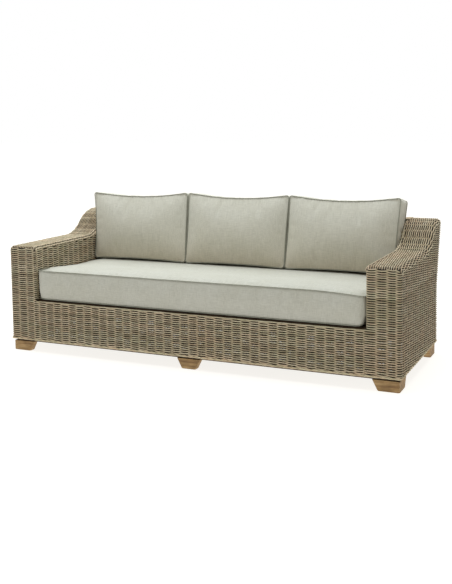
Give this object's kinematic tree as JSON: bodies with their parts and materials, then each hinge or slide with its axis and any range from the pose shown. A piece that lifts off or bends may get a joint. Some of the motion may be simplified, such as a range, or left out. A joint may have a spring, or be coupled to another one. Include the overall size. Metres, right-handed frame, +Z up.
{
  "type": "rattan garden sofa",
  "caption": "Long woven rattan garden sofa with swept box arms, tapered wooden feet, a bench seat cushion and loose piped back cushions.",
  "frame": {"origin": "on the floor, under the middle of the overall box", "axes": "+Z up, +X towards the arm on the right as seen from the front, the seat faces -Y"},
  "size_m": [2.306, 0.9318, 0.8848],
  "materials": {
    "rattan_weave": "weathered, matt",
    "rattan_braid": "weathered, matt",
    "frame_hardwood": "planed, unpainted",
    "foot_oak": "oiled, satin",
    "cushion_fabric": "linen-like weave, matt"
  },
  "bodies": {
    "sofa_frame": {"apron_weave": "rattan_weave", "arm_edge_braid_left_inner": "rattan_braid", "arm_edge_braid_left_outer": "rattan_braid", "arm_edge_braid_right_inner": "rattan_braid", "arm_edge_braid_right_outer": "rattan_braid", "arm_front_weave_left": "rattan_weave", "arm_front_weave_right": "rattan_weave", "arm_inner_weave_left": "rattan_weave", "arm_inner_weave_right": "rattan_weave", "arm_outer_weave_left": "rattan_weave", "arm_outer_weave_right": "rattan_weave", "arm_post_left_inner": "frame_hardwood", "arm_post_left_outer": "frame_hardwood", "arm_post_right_inner": "frame_hardwood", "arm_post_right_outer": "frame_hardwood", "arm_rail_left_inner": "frame_hardwood", "arm_rail_left_outer": "frame_hardwood", "arm_rail_right_inner": "frame_hardwood", "arm_rail_right_outer": "frame_hardwood", "arm_top_weave_left": "rattan_weave", "arm_top_weave_right": "rattan_weave", "back_inner_weave": "rattan_weave", "back_outer_weave": "rattan_weave", "back_rib_left": "frame_hardwood", "back_rib_left_end": "frame_hardwood", "back_rib_right": "frame_hardwood", "back_rib_right_end": "frame_hardwood", "back_top_rail": "frame_hardwood", "back_top_weave": "rattan_weave", "base_rail_centre": "frame_hardwood", "base_rail_front": "frame_hardwood", "base_rail_left": "frame_hardwood", "base_rail_rear": "frame_hardwood", "base_rail_right": "frame_hardwood", "foot_front_left": "foot_oak", "foot_front_middle": "foot_oak", "foot_front_right": "foot_oak", "foot_rear_left": "foot_oak", "foot_rear_middle": "foot_oak", "foot_rear_right": "foot_oak", "rear_post_left": "frame_hardwood", "rear_post_right": "frame_hardwood", "seat_rail_centre": "frame_hardwood", "seat_rail_front": "frame_hardwood", "seat_rail_left": "frame_hardwood", "seat_rail_rear": "frame_hardwood", "seat_rail_right": "frame_hardwood", "seat_slat_1": "frame_hardwood", "seat_slat_2": "frame_hardwood", "seat_slat_3": "frame_hardwood", "seat_slat_4": "frame_hardwood", "seat_slat_5": "frame_hardwood", "wale_front": "rattan_braid", "wale_left": "rattan_braid", "wale_rear": "rattan_braid", "wale_right": "rattan_braid"},
    "seat_cushion": {"seat_cushion": "cushion_fabric"},
    "back_cushion_left": {"back_cushion_left": "cushion_fabric"},
    "back_cushion_middle": {"back_cushion_middle": "cushion_fabric"},
    "back_cushion_right": {"back_cushion_right": "cushion_fabric"}
  },
  "joints": [
    {"name": "seat_cushion_lift", "type": "slide", "parent": "sofa_frame", "child": "seat_cushion", "axis": [0, 0, 1], "range_m": [0, 0.3]},
    {"name": "back_cushion_left_lift", "type": "slide", "parent": "seat_cushion", "child": "back_cushion_left", "axis": [0, 0, 1], "range_m": [0, 0.3]},
    {"name": "back_cushion_middle_lift", "type": "slide", "parent": "seat_cushion", "child": "back_cushion_middle", "axis": [0, 0, 1], "range_m": [0, 0.3]},
    {"name": "back_cushion_right_lift", "type": "slide", "parent": "seat_cushion", "child": "back_cushion_right", "axis": [0, 0, 1], "range_m": [0, 0.3]}
  ]
}
